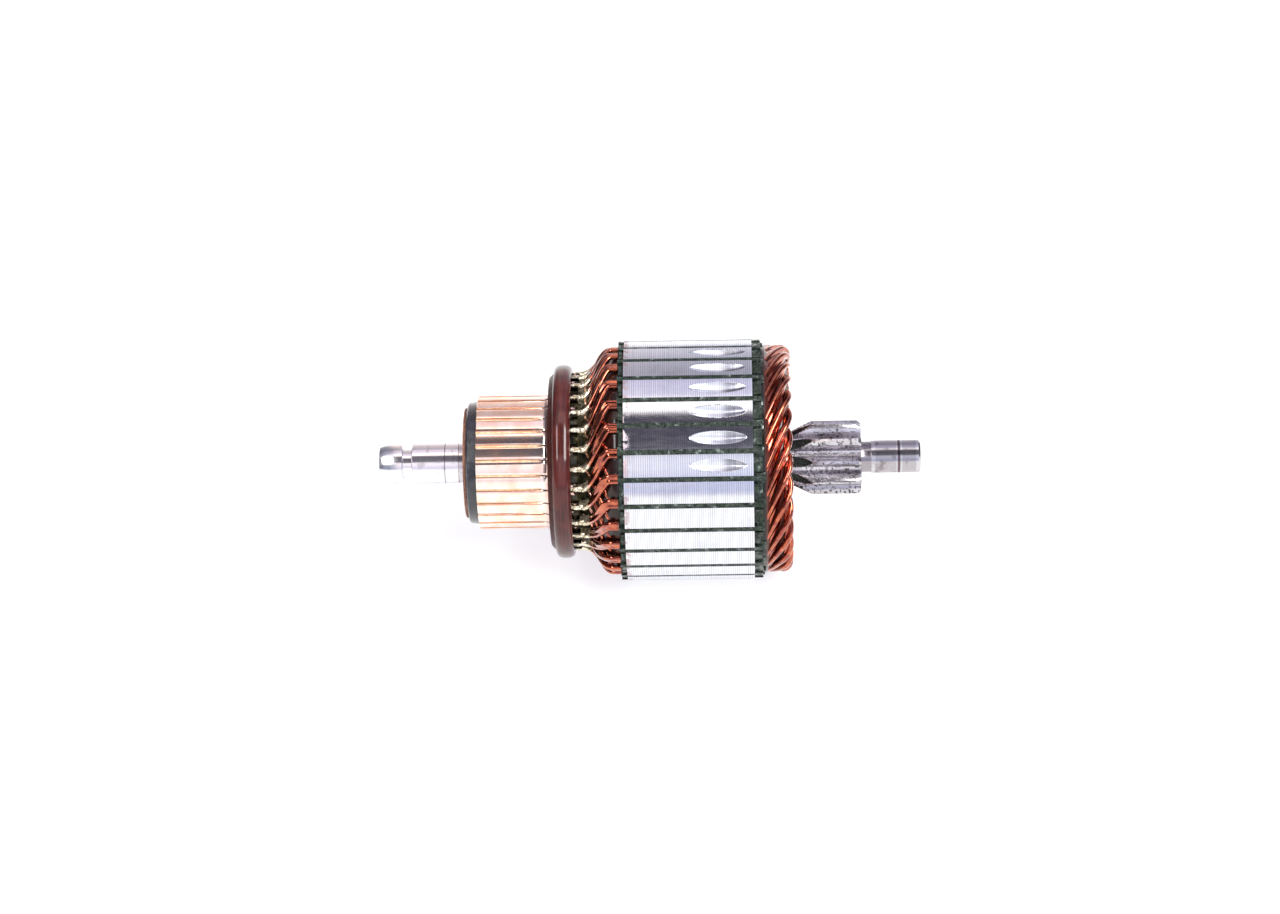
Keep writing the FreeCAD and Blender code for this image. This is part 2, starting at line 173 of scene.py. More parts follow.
table_size = 12.0
table_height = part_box("lamination_stack")[0].z
bpy.ops.mesh.primitive_plane_add(size=table_size, location=(0.05, 0, table_height))
table = bpy.context.object
table.name = "table"
start, close = material("table_white")
lit = start.add("BsdfDiffuse", {}, {"Color": (0.36, 0.38, 0.33)})
glow = start.add("Emission", {}, {"Color": (0.945, 0.925, 1.0), "Strength": 0.80})
table.data.materials.append(close(start.add("AddShader", {}, {0: lit, 1: glow})))

pixel = 0.2338 * mm
picture_width = 1280.0
sensor_width = 36.0
picture_middle = 47.6 * mm
aim = Vector((70.0 * mm, 0.0, 0.0))
camera_distance = 866.0 * mm
camera_rise = math.radians(35.0)
camera_roll = math.radians(-0.9)
picture_lift = 0.4 * mm
camera_data = bpy.data.cameras.new("camera")
camera = bpy.data.objects.new("camera", camera_data)
bpy.context.scene.collection.objects.link(camera)
camera_data.sensor_width = sensor_width
camera_data.lens = sensor_width * camera_distance / pixel / picture_width
camera_data.shift_x = (picture_middle - aim.x) / pixel / picture_width
back = Vector((0, -math.cos(camera_rise), math.sin(camera_rise)))
up = Vector((0, math.sin(camera_rise), math.cos(camera_rise)))
camera.location = aim + back * camera_distance + up * picture_lift
camera.rotation_euler = (Matrix.Rotation(camera_roll, 3, back)
                         @ Matrix((Vector((1, 0, 0)), up, back)).transposed()).to_euler()
camera_data.clip_start = 0.01
bpy.context.scene.camera = camera
bpy.context.scene.view_settings.view_transform = "Standard"


# Shaft: one bar of steel, turned and ground, with ten pinion teeth cut in it. The journals are
# bright, with dull bands where they ran, and the pinion is pitted and freckled with dark rust.

washer_start = 7.0
hub_start = 7.8
track_start = 10.2
riser_start = 27.0
riser_end = 33.9
core_start = 44.5
core_end = 74.0
pinion_start = 81.45
pinion_end = 99.15
pinion_teeth = 10
pinion_module = 1.44
pinion_root = 5.5
pinion_tip = 8.64
pinion_turn = 153.5
bevel_slope = 0.5
pinion_chamfer = 0.7
pressure_angle = math.radians(25.0)


def piece(name, points, faces, finish, slot, nodes=(), sharp=30.0):
    """A mesh that rides with the armature and stands for the named solids."""
    mesh = bpy.data.meshes.new(name)
    mesh.from_pydata(points, [], faces)
    mesh.validate()
    made = bpy.data.objects.new(name, mesh)
    bpy.context.scene.collection.objects.link(made)
    mesh.materials.append(finish)
    mesh.shade_smooth()
    mesh.set_sharp_from_angle(angle=math.radians(sharp))
    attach(made, "root")
    if nodes:
        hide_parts(*nodes)
    return made


def around(x, radius, angle):
    """A point in millimetres along the shaft, out from it, and in degrees from +Y towards +Z."""
    turn = math.radians(angle)
    return Vector((x * mm, radius * mm * math.cos(turn), radius * mm * math.sin(turn)))


def level(x, height, offset, angle):
    """A point at a height along a spoke and an offset square to it."""
    turn = math.radians(angle)
    return Vector((x, height * math.cos(turn) - offset * math.sin(turn),
                   height * math.sin(turn) + offset * math.cos(turn))) * mm


def sweep(rows, closed=False):
    """Points and faces of a skin through rings of as many points each, the ends closed with caps."""
    count = len(rows[0])
    points = [p for row in rows for p in row]
    faces = []
    steps = len(rows) if closed else len(rows) - 1
    for i in range(steps):
        near = i * count
        far = (i + 1) % len(rows) * count
        for k in range(count):
            j = (k + 1) % count
            faces.append([near + k, far + k, far + j, near + j])
    if not closed:
        faces.append(list(range(count)))
        faces.append(list(range(len(points) - 1, len(points) - 1 - count, -1)))
    return points, faces


def lathe(profile, sides=144, closed=False):
    """A turned surface from (x, radius) pairs."""
    return sweep([[around(x, r, 360.0 * i / sides) for i in range(sides)] for x, r in profile], closed)


def joined(*parts):
    """Several (points, faces) as one."""
    points = []
    faces = []
    for more, skin in parts:
        faces += [[i + len(points) for i in face] for face in skin]
        points += more
    return points, faces


def tooth_outline():
    """The pinion's section as (radius, angle) pairs, once round."""
    pitch = pinion_module * pinion_teeth / 2
    base = pitch * math.cos(pressure_angle)

    def involute(radius):
        pressure = math.acos(min(1.0, base / radius))
        return math.degrees(math.tan(pressure) - pressure)

    half_at_pitch = 90.0 / pinion_teeth + involute(pitch)
    heights = [base + (pinion_tip - base) * i / 6 for i in range(7)]
    flank = [(height, half_at_pitch - involute(height)) for height in heights]
    foot = flank[0][1]
    root = [(pinion_root, foot + 3.4), (pinion_root + 0.08, foot + 1.5), (pinion_root + 0.35, foot + 0.4)]
    half = root + flank + [(pinion_tip, flank[-1][1] * 0.4)]
    outline = []
    for i in range(pinion_teeth):
        centre = pinion_turn + i * 360.0 / pinion_teeth
        outline += [(r, centre - a) for r, a in half] + [(r, centre + a) for r, a in half[::-1]]
    return outline


def blank_radius(x):
    """How far out the pinion reaches at x, before the teeth are cut."""
    return min(pinion_tip, pinion_root + (x - pinion_start) * bevel_slope,
               pinion_tip - pinion_chamfer + (pinion_end - x))


bevel_length = 6.3
bevel_rows = [pinion_start + bevel_length * i / 28 for i in range(29)]
pinion_rows = bevel_rows + [93.0, pinion_end - pinion_chamfer, pinion_end]
pinion = sweep([[around(x, min(r, blank_radius(x)), a) for r, a in tooth_outline()]
                for x in pinion_rows])
shaft_profile = [
    (-13.15, 0.01), (-13.15, 3.4), (-13.0, 4.05), (-11.25, 4.625), (-7.75, 4.625), (-7.65, 4.5),
    (-7.65, 3.45), (-5.45, 3.45), (-5.45, 4.6), (-5.3, 4.75), (5.35, 4.75), (5.45, 4.65), (5.45, 4.55),
    (7.0, 4.55), (7.0, 5.0), (riser_end, 5.0), (riser_end, 6.0), (76.9, 6.0), (77.2, 5.7), (77.2, 5.5),
    (82.0, 5.49), (82.0, 5.3), (98.9, 5.3), (98.9, 4.2), (pinion_end, 4.0), (99.3, 3.7), (99.7, 3.6),
    (101.45, 3.6), (101.45, 3.75), (101.55, 3.85), (112.65, 3.85), (113.0, 3.55), (113.15, 3.0),
    (113.15, 0.01)]

start, close = material("turned_steel")
spot = start.add("TexCoord", out=3)
x = spot.part("X") / mm
marks = (spot * (9000.0, 90.0, 90.0)).noise(1.0, 2.0)
stain = spot.noise(420.0, 4.0, 0.6)
cloud = spot.noise(110.0, 2.0)
on_pinion = x.ease(80.9, 81.6) * x.ease(99.4, 99.0)
wear = x.ease(102.2, 102.8) * x.ease(107.6, 107.2) + x.ease(108.6, 108.9) * x.ease(112.2, 111.8)
ring_lines = x.ease(2.05, 2.2) * x.ease(2.42, 2.3) + x.ease(107.6, 107.8) * x.ease(108.4, 108.2)
# shade_band is painted shade in the neck right of the left journal and in the neck between the pinion and
# the right journal.
shade_band = x.ease(5.3, 5.5) + x.ease(99.0, 99.3) * x.ease(101.6, 101.3)
clean = (marks * 0.25 + 0.86).mix((0.40, 0.38, 0.42), (0.86, 0.84, 0.88))
worn_and_shaded = (wear * 0.22 + ring_lines * 0.75 + shade_band * 0.35 + stain.ease(0.52, 0.72) * 0.30).mix(
    clean, (0.16, 0.12, 0.13))
pits = spot.noise(1500.0, 4.0, 0.75).ease(0.53, 0.60)
rust = (cloud.ease(0.35, 0.65) * 0.3 + pits * 0.85).mix((0.70, 0.67, 0.71), (0.035, 0.022, 0.026))
steel_colour = on_pinion.mix(worn_and_shaded, rust)
bump = start.add("Bump", {}, {"Strength": 0.25, "Distance": 0.00003,
                              "Height": marks * 0.5 + on_pinion * pits * -0.7})
turned_steel = close(start.add("BsdfPrincipled", {}, {
    "Base Color": steel_colour, "Metallic": 1.0, "Normal": bump,
    "Roughness": stain * 0.10 + 0.12 + on_pinion * (pits * 0.3 + 0.06)}))
piece("shaft_and_pinion", *joined(lathe(shaft_profile, 96), pinion), turned_steel, "turned_steel",
      ["shaft"])


# Core: sheets of electrical steel pressed on the shaft in a stack, turned on the outside, so the
# edge of every sheet shows. Six teeth are milled out a little on one side to balance the armature.

slots = 28
pitch_angle = 360.0 / slots
slot_down = 270.0
core_radius = 28.0
sheet = 0.5
mouth_half = 0.6
slot_half = 1.42
slot_top = 26.835
slot_bottom = 23.795
core_bore = 6.0
cut_depth = 1.1
cut_length = 13.1
cut_half = 1.6
cut_middle = 66.05
cut_rim = 0.05
cut_teeth = range(13, 19)


def cutter_height(x, offset):
    """How far up a tooth's spoke the milling disc leaves steel standing."""
    radius = (cut_depth ** 2 + cut_length ** 2 / 4) / (2 * cut_depth)
    rim = radius - cut_depth * min(1.0, abs(offset) / cut_half) ** 1.7
    reach = rim ** 2 - (x - cut_middle) ** 2
    return core_radius - cut_depth + radius - math.sqrt(max(reach, 0.0))


def core_sector(number):
    """The stack from the middle of one slot to the middle of the next."""
    here = slot_down + number * pitch_angle
    there = here + pitch_angle
    middle = here + pitch_angle / 2
    edge = math.degrees(math.asin(mouth_half / core_radius))
    cut = number in cut_teeth
    columns = 56 if cut else 24
    spokes = [here + edge + (pitch_angle - 2 * edge) * i / columns for i in range(columns + 1)]
    places = [core_start, core_end]
    if cut:
        milled = [cut_middle - cut_length / 2 + cut_length * i / 120 for i in range(121)]
        places[1:1] = [milled[0] - cut_rim] + milled + [milled[-1] + cut_rim]
    before = [(slot_bottom, 0, here), (slot_bottom, slot_half, here), (slot_top, slot_half, here),
              (slot_top, mouth_half, here)]
    after = [(slot_top, -mouth_half, there), (slot_top, -slot_half, there),
             (slot_bottom, -slot_half, there), (slot_bottom, 0, there), (core_bore, 0, there),
             (core_bore, 0, middle), (core_bore, 0, here)]
    points = []
    crown = []
    for x in places:
        row = []
        for spoke in spokes:
            lean = math.radians(spoke - middle)
            height = core_radius * math.cos(lean)
            offset = core_radius * math.sin(lean)
            if cut:
                height = min(height, cutter_height(x, offset))
            row.append(len(points))
            points.append(level(x, height, offset, middle))
        crown.append(row)
    faces = [[near[i], near[i + 1], far[i + 1], far[i]]
             for near, far in zip(crown, crown[1:]) for i in range(len(spokes) - 1)]
    ends = []
    for x, row in ((core_start, crown[0]), (core_end, crown[-1])):
        first = len(points)
        points += [level(x, h, o, a) for h, o, a in before + after]
        ends.append(list(range(first, first + len(before))) + row
                    + list(range(first + len(before), first + len(before) + len(after))))
    crown_span = range(len(before), len(before) + len(spokes) - 1)
    inner = len(before) + len(spokes) + 3
    for i in range(len(ends[0]) - 1):
        if i not in crown_span and i != inner:
            faces.append([ends[0][i], ends[0][i + 1], ends[1][i + 1], ends[1][i]])
    faces += [ends[0][::-1], ends[1]]
    return points, faces


start, close = material("core_sheets")
spot = start.add("TexCoord", out=3)
x = spot.part("X") / mm
count = (x - core_start) / sheet
seam = (count.math("FRACT") - 0.5).math("ABSOLUTE").ease(0.36, 0.47)
own = start.add("TexWhiteNoise", {"noise_dimensions": "1D"}, {"W": count.math("FLOOR")})
streak = (spot * (300.0, 1200.0, 1200.0)).noise(1.0, 3.0)
smear = x.ease(46.3, 44.9) * spot.noise(700.0, 2.0).ease(0.47, 0.55)
blotch = spot.noise(160.0, 3.0).ease(0.55, 0.75)
steel = (own * 0.30 + streak * 0.35).mix((0.72, 0.73, 0.80), (0.98, 0.98, 1.0))
steel = (seam * 0.50 + blotch * 0.10).mix(steel, (0.10, 0.09, 0.12))
core_colour = (smear * 0.6).mix(steel, (0.45, 0.26, 0.26))
bump = start.add("Bump", {}, {"Strength": 0.10, "Distance": 0.00002, "Height": seam * -1.0 + own * 0.35})
off_axis = start.add("VectorMath", {"operation": "LENGTH"}, {0: spot * (0.0, 1.0, 1.0)}, out=1)
in_cut = off_axis.ease(27.96 * mm, 27.88 * mm)
# Painted shade: the drive-end half of each balance cut is painted darker, for the dim reflection it
# shows.
shaded_half_of_cut = in_cut * x.ease(66.6, 68.4)
core_colour = (shaded_half_of_cut * (own * 0.35 + 0.45)).mix(core_colour, (0.14, 0.14, 0.19))
core_finish = close(start.add("BsdfPrincipled", {}, {
    "Base Color": core_colour, "Metallic": 1.0, "Normal": bump,
    "Roughness": streak * 0.10 + 0.09 + smear * 0.3 + in_cut * 0.22}))
piece("core_of_sheets", *joined(*[core_sector(i) for i in range(slots)]), core_finish, "core_steel",
      ["lamination_stack"])


# End insulators and slot liners: dark green fibre, cut by a die and folded, and soaked in varnish.
# The varnish lies on it in glossy patches, and the fibre is paler in the middle of them.

start, close = material("green_fibre")
spot = start.add("TexCoord", out=3)
grain = spot.noise(1500.0, 4.0, 0.6)
patch = spot.noise(760.0, 2.0)
fibre = (grain.ease(0.35, 0.7) * 0.6).mix((0.004, 0.009, 0.006), (0.045, 0.070, 0.045))
fibre = patch.ease(0.62, 0.72).mix(fibre, (0.14, 0.18, 0.15))
bump = start.add("Bump", {}, {"Strength": 1.0, "Distance": 0.0006, "Height": patch + grain * 0.3})
green_fibre = close(start.add("BsdfPrincipled", {}, {
    "Base Color": fibre, "Roughness": 0.4, "Specular IOR Level": 0.25, "Normal": bump,
    "Coat Weight": patch.ease(0.45, 0.6), "Coat Roughness": 0.03}))
for name in ("commutator_end_insulator", "drive_end_insulator", "slot_liners"):
    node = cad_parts[name]
    node.data.materials.clear()
    node.data.materials.append(green_fibre)


# Liner tongues: at the drive end the liners' green fibre runs on over the wires, and ends in a
# tongue above each slot, a little longer at one slot than at the next.

tongue_start = core_end + 0.6
tongue_reach = core_end + 2.35
tongue_spread = 0.45
tongue_ring = [(26.6, -1.3), (26.93, -1.2), (27.12, -0.7), (27.18, 0.0), (27.12, 0.7), (26.93, 1.2),
               (26.6, 1.3), (26.6, 0.0)]
dice = random.Random(5)
tongues = []
for number in range(slots):
    angle = slot_down + number * pitch_angle
    reach = tongue_reach + dice.random() * tongue_spread
    stations = ((tongue_start, 1.0), (reach - 0.5, 1.004), (reach, 0.998))
    tongues.append(sweep([[level(x, h * k, o, angle) for h, o in tongue_ring] for x, k in stations]))
piece("tongues_of_liners", *joined(*tongues), green_fibre, "green_fibre")


# Coils: each is one turn of two round copper wires under red-brown enamel, side by side in the
# slots. At the drive end the pair twists one wire under the other and folds over in a tight nose.
# At the other end it turns on edge and runs down to a riser, where the wires are bared and tinned.

wire_dia = 1.17
layer_gap = 0.2
outer_leg = 26.0
inner_leg = outer_leg - wire_dia - layer_gap
coil_span = 5
bend_radius = 1.0
bend_roll = 24.0
nose_roll = 75.0
bend_x = core_end + 2.05
coil_side_play = 0.015
outer_riser = 19.51
inner_riser = outer_riser - 2 * wire_dia
outer_shift = pitch_angle + 9.0
bar_pitch = 9
outer_exit = core_start - 3.2
inner_exit = core_start - 1.6
leads_end = riser_end + 0.8


def smooth(t):
    """Goes from 0 to 1 with a gentle start and end."""
    return t * t * (3 - 2 * t)


def outer_pair(roll):
    """The outer layer's middle, whose upper wire keeps the leg's radius."""
    return outer_leg - wire_dia / 2 * math.sin(math.radians(roll))


def inner_pair(roll):
    """The inner layer's middle, clear of the lower wire of the outer layer."""
    return inner_leg - wire_dia * 1.5 * math.sin(math.radians(roll))


def lead(exit_x, leg, riser, shift, count):
    """Stations from the slot to the riser: x, radius, angle, roll and tilt of the outer side."""
    stations = []
    for i in range(count + 1):
        t = i / count
        stations.append((exit_x + (leads_end - exit_x) * t, leg + (riser - leg) * smooth(t),
                         shift * smooth(t), 90.0 * smooth(t), 0.0))
    stations.append((riser_start + 1.0, riser, shift, 90.0, 0.0))
    return stations


def coil_way():
    """The middle of the two wires, from the outer riser end to the inner one."""
    half_span = coil_span * pitch_angle / 2
    inner_shift = outer_shift - bar_pitch * pitch_angle + 2 * half_span
    pair_width = wire_dia * (1 + math.cos(math.radians(bend_roll)))
    slant_turn = math.acos((pair_width + coil_side_play) / (outer_leg * math.radians(pitch_angle)))
    slant = math.tan(slant_turn)
    nose_top = outer_pair(nose_roll)
    nose_radius = (nose_top - inner_pair(nose_roll)) / 2
    nose_middle = nose_top - nose_radius
    fold_sweep = math.degrees(nose_radius * math.pi / 2 * slant / nose_middle)
    run_sweep = half_span - fold_sweep
    bend_sweep = math.degrees(bend_radius * (1 - math.cos(slant_turn)) / outer_leg)
    run_x = bend_x + bend_radius * math.sin(slant_turn)
    fold_x = run_x + math.radians(run_sweep - bend_sweep) * nose_top / slant

    way = lead(outer_exit, outer_leg, outer_riser, outer_shift, 22)[::-1]
    for i in range(7):
        turn = slant_turn * i / 6
        roll = bend_roll * i / 6
        way.append((bend_x + bend_radius * math.sin(turn), outer_pair(roll),
                    -math.degrees(bend_radius * (1 - math.cos(turn)) / outer_leg), -roll, 0.0))
    for i in range(1, 10):
        t = i / 10
        roll = bend_roll + (nose_roll - bend_roll) * t
        way.append((run_x + (fold_x - run_x) * t, outer_pair(roll),
                    -bend_sweep - (run_sweep - bend_sweep) * t, -roll, 0.0))
    for i in range(17):
        tilt = 180.0 * i / 16
        turn = math.radians(tilt)
        way.append((fold_x + nose_radius * math.sin(turn), nose_middle + nose_radius * math.cos(turn),
                    -run_sweep - fold_sweep * tilt / 90.0, -nose_roll, tilt))
    nose_side = run_sweep + 2 * fold_sweep
    for i in range(1, 13):
        x = fold_x + (bend_x - 0.05 - fold_x) * i / 12
        share = max(0.0, (x - bend_x) / (fold_x - bend_x))
        roll = min(bend_roll * (x - bend_x + 0.05) / (run_x - bend_x + 0.05),
                   bend_roll + (nose_roll - bend_roll) * (x - run_x) / (fold_x - run_x))
        way.append((x, inner_pair(roll), -2 * half_span + (2 * half_span - nose_side) * share,
                    -roll, 180.0))
    way += [(x, r, a - 2 * half_span, 180.0 - roll, 0.0)
            for x, r, a, roll, tilt in lead(inner_exit, inner_leg, inner_riser, inner_shift, 18)]
    return way


def pair_outline():
    """The section of two wires side by side, in wire radii. Varnish fills most of both grooves."""
    arc = [180, 157, 134, 111, 88, 65]
    half = [(-1 + math.cos(math.radians(t)), math.sin(math.radians(t))) for t in arc]
    half += [(-0.36, 0.83), (-0.16, 0.775), (0.0, 0.76)]
    half += [(-w, h) for w, h in half[-2::-1]]
    return half + [(w, -h) for w, h in half[-2:0:-1]]


def two_wires(way, first_angle, swells=None):
    """The skin of both wires from one slot, thicker by the swells, and how far it stands out."""
    wire_radius = wire_dia / 2 * mm
    middles = [around(x, r, first_angle + a) for x, r, a, roll, tilt in way]
    outline = pair_outline()
    tilts = [tilt for x, r, a, roll, tilt in way]
    nose = tilts.index(90.0) if 90.0 in tilts else len(way)
    rows = []
    rises = []
    for i, (x, r, a, roll, tilt) in enumerate(way):
        along = (middles[min(i + 1, len(way) - 1)] - middles[max(i - 1, 0)]).normalized()
        lean = math.radians(tilt)
        outward = around(0, 1000, first_angle + a) * math.cos(lean) + Vector((math.sin(lean), 0, 0))
        side = along.cross(outward).normalized()
        high = side.cross(along).normalized()
        spin = math.radians(roll)
        wide = (side * math.cos(spin) + high * math.sin(spin)) * wire_radius
        tall = (high * math.cos(spin) - side * math.sin(spin)) * wire_radius
        swell = swells[i] if swells else 0.0
        offsets = [wide * (w + swell * w / math.hypot(w, h)) + tall * (h + swell * h / math.hypot(w, h))
                   for w, h in outline]
        rows.append([middles[i] + offset for offset in offsets])
        # Past the nose the inner layer counts one wire radius lower, so the enamel paints it in deeper
        # shade.
        buried = 1.0 if i > nose else 0.0
        rises += [offset.dot(outward.normalized()) / wire_radius - buried for offset in offsets]
    return sweep(rows), rises


start, close = material("enamelled_copper")
spot = start.add("TexCoord", out=3)
x = spot.part("X") / mm
mottle = spot.noise(700.0, 3.0)
bared = (x + (spot.noise(900.0) - 0.5) * 1.4).ease(37.0, 36.4)
tinned = (x + (mottle - 0.5) * 2.5).ease(36.0, 35.4)
enamel = mottle.ease(0.3, 0.7).mix((0.29, 0.044, 0.025), (0.60, 0.140, 0.052))
grime = spot.noise(330.0, 4.0, 0.7).ease(0.56, 0.70)
# Painted shade: rise darkens the enamel where the surface lies low in the pair and on the buried inner
# layer; grime adds random dark dirt.
rise = start.add("Attribute", {"attribute_name": "rise"}, out=2)
grime_and_painted_shade = (grime * 0.25 + rise.ease(0.0, -1.7) * 0.65).math("MINIMUM", 1.0)
enamel = grime_and_painted_shade.mix(enamel, (0.060, 0.014, 0.012))
colour = tinned.mix(bared.mix(enamel, (0.90, 0.52, 0.40)), (0.86, 0.76, 0.60))
bump = start.add("Bump", {}, {"Strength": 0.12, "Distance": 0.00008, "Height": mottle + tinned * mottle})
wire_finish = close(start.add("BsdfPrincipled", {}, {
    "Base Color": colour, "Metallic": 1.0, "Roughness": tinned * 0.14 + 0.09, "Normal": bump,
    "Coat Weight": 1 - bared, "Coat Roughness": 0.03}))

way = coil_way()
for number in range(slots):
    name = "coil_%02d" % (number + 1)
    skin, rises = two_wires(way, slot_down + number * pitch_angle)
    wires = piece("wires_of_" + name, *skin, wire_finish, "enamelled_copper", [name], 60.0)
    wires.data.attributes.new("rise", "FLOAT", "POINT").data.foreach_set("value", rises)


# Solder: behind the risers the bared wires were dipped in solder, and a rough lump of it clings to
# each pair.

solder_way = [(x, *way[1][1:]) for x in (riser_end - 1.5, riser_end - 0.6, riser_end)] + way[1:8]
solder_swells = [0.20, 0.45, 0.30, 0.48, 0.62, 0.58, 0.50, 0.40, 0.24, 0.03]
start, close = material("soft_solder")
spot = start.add("TexCoord", out=3)
dross = spot.noise(1300.0, 3.0)
solder = dross.ease(0.40, 0.62).mix((0.95, 0.86, 0.68), (0.42, 0.33, 0.20))
bump = start.add("Bump", {}, {"Strength": 0.7, "Distance": 0.00025, "Height": dross})
soft_solder = close(start.add("BsdfPrincipled", {}, {
    "Base Color": solder, "Metallic": 0.8, "Roughness": 0.22, "Coat Weight": 0.6,
    "Coat Roughness": 0.04, "Normal": bump}))
solder_skins = [two_wires(solder_way, slot_down + i * pitch_angle, solder_swells)[0]
                for i in range(slots)]
piece("solder_at_risers", *joined(*solder_skins), soft_solder, "enamelled_copper", sharp=60.0)


# Varnish: the winding was dipped after it was soldered, and the resin filled the hollows between
# the wires, round the risers and under the layers. It dried nearly black and glossy.

riser_varnish = 19.75
slope_depth = 0.78
slope_swell = 0.28
nose_start = core_end + 1.9
start, close = material("dark_varnish_and_painted_shade")
spot = start.add("TexCoord", out=3)
x = spot.part("X") / mm
pool = spot.noise(600.0, 3.0)
resin = pool.ease(0.4, 0.65).mix((0.006, 0.006, 0.003), (0.045, 0.038, 0.016))
resin = x.ease(36.5, 39.0).mix(resin, (0.022, 0.007, 0.005))
resin = x.ease(28.3, 27.9).mix(resin, (0.055, 0.014, 0.011))
# At the drive end the red-brown is partly the resin's own colour and partly painted shade of the wires
# deep in the gaps.
resin = x.ease(70.0, 74.0).mix(resin, (0.060, 0.015, 0.011))
# Painted shadow: the near-black ring just past the liner collar.
resin = (x.ease(74.0, 75.0) * x.ease(76.8, 76.5)).mix(resin, (0.010, 0.009, 0.006))
bump = start.add("Bump", {}, {"Strength": 0.8, "Distance": 0.00035, "Height": pool})
varnish = close(start.add("BsdfPrincipled", {}, {
    "Base Color": resin, "Roughness": 0.3, "Specular IOR Level": 0.1,
    "Coat Weight": x.ease(28.2, 28.6) * 0.7, "Coat Roughness": 0.03, "Normal": bump}))
slope = [(leads_end + (inner_exit - leads_end) * t / 10,
          inner_riser + (inner_leg - inner_riser) * smooth(t / 10) + slope_depth
          + slope_swell * math.sin(math.pi * t / 10)) for t in range(11)]
riser_pool = [(riser_start - 0.1, 15.4), (riser_start - 0.1, riser_varnish),
              (riser_start + 0.15, riser_varnish + 0.25), (riser_start + 1.0, riser_varnish + 1.08),
              (riser_start + 1.3, riser_varnish), (riser_end - 0.3, riser_varnish),
              (riser_end + 0.1, 19.2)]
piece("varnish_at_commutator", *lathe(riser_pool + slope + [(43.3, 25.42), (43.3, 15.4)], 168, True),
      varnish, "brown_resin")
nose_pool = [(nose_start, 26.66), (76.9, 26.62), (77.4, 26.2), (78.1, 25.6), (79.2, 25.0),
             (80.6, 24.65), (81.6, 24.2), (82.1, 23.4), (81.8, 22.4), (81.2, 21.9), (nose_start, 22.4)]
piece("varnish_at_drive_end", *lathe(nose_pool, 168, True), varnish, "brown_resin")


# Commutator bars: drawn copper, turned true on the shaft. Between them the mica is sawn down, and
# the saw's groove narrows to a slit before the risers. The track is bright from the brushes, and
# the risers are dark with varnish.

track_radius = 15.7
bar_inner = 12.3
bar_shift = 9.0
groove_floor = 15.1
groove_half = 0.45
slit_half = 0.18
mica_half = 0.2
riser_half = 1.35
riser_top = 20.7
riser_chamfer = 1.0
riser_slot = 0.605
riser_floor = 15.98


def gap_corner(x, height, half_gap, side, angle):
    """A corner of a bar at a height, beside the gap to the next bar."""
    half_pitch = math.radians(pitch_angle / 2)
    along_gap = (height - half_gap * math.sin(half_pitch)) / math.cos(half_pitch)
    return level(x, along_gap, -side * half_gap, angle + side * pitch_angle / 2)


def track_ring(x, top, half_gap, angle):
    """The bar's section at one place of the track: feet, undercut edges and a round top."""
    edge = math.degrees(math.asin(half_gap / top))
    first = angle - pitch_angle / 2 + edge
    span = pitch_angle - 2 * edge
    crown = [around(x, top - (0.08 if i in (0, 10) else 0), first + span * i / 10) for i in range(11)]
    feet = [(groove_floor, half_gap), (groove_floor, mica_half), (bar_inner, mica_half)]
    low = [gap_corner(x, height, half, -1, angle) for height, half in feet[::-1]]
    high = [gap_corner(x, height, half, 1, angle) for height, half in feet]
    return low + crown + high


def riser_ring(x, top, angle):
    """The riser's section, with the slot for the wire ends."""
    cheek = [(riser_floor, riser_slot), (top, riser_slot), (top, riser_half), (groove_floor, riser_half)]
    low = [gap_corner(x, height, mica_half, -1, angle) for height in (bar_inner, groove_floor)]
    low += [level(x, height, -half, angle) for height, half in cheek[::-1]]
    high = [level(x, height, half, angle) for height, half in cheek]
    high += [gap_corner(x, height, mica_half, 1, angle) for height in (groove_floor, bar_inner)]
    return low + high


start, close = material("bright_copper")
spot = start.add("TexCoord", out=3)
x = spot.part("X") / mm
turning = (spot * (7000.0, 60.0, 60.0)).noise(1.0, 2.0)
patina = spot.noise(240.0, 3.0)
copper = patina.ease(0.35, 0.7).mix((1.0, 0.86, 0.78), (1.0, 0.70, 0.57))
copper = (x.ease(25.4, 26.6) * 0.5).mix(copper, (0.60, 0.33, 0.30))
scraped = spot.noise(900.0, 2.0).ease(0.56, 0.64) * x.ease(31.5, 32.0) * x.ease(33.4, 32.9)
dipped = x.ease(27.2, 27.6) * (1 - scraped)
copper = dipped.mix(copper, (0.030, 0.022, 0.014))
bump = start.add("Bump", {}, {"Strength": 0.12, "Distance": 0.00002, "Height": turning})
bright_copper = close(start.add("BsdfPrincipled", {}, {
    "Base Color": copper, "Metallic": 1.0, "Roughness": patina * 0.10 + 0.10, "Normal": bump}))
track_places = [(track_start, 15.55, groove_half), (track_start + 0.15, track_radius, groove_half),
                (24.9, track_radius, groove_half), (25.3, track_radius, 0.30),
                (25.7, track_radius, slit_half), (26.2, track_radius + 0.05, slit_half),
                (26.6, track_radius + 0.3, slit_half), (riser_start, track_radius + 0.9, slit_half)]
riser_places = [(riser_start, riser_top - riser_chamfer), (riser_start + riser_chamfer, riser_top),
                (riser_end - 0.1, riser_top), (riser_end, riser_top - 0.1)]
bars = []
for number in range(slots):
    angle = slot_down + bar_shift + number * pitch_angle
    bars.append(sweep([track_ring(x, top, gap, angle) for x, top, gap in track_places]))
    bars.append(sweep([riser_ring(x, top, angle) for x, top in riser_places]))
piece("bars_with_risers", *joined(*bars), bright_copper, "commutator_copper", ["commutator_bars"])

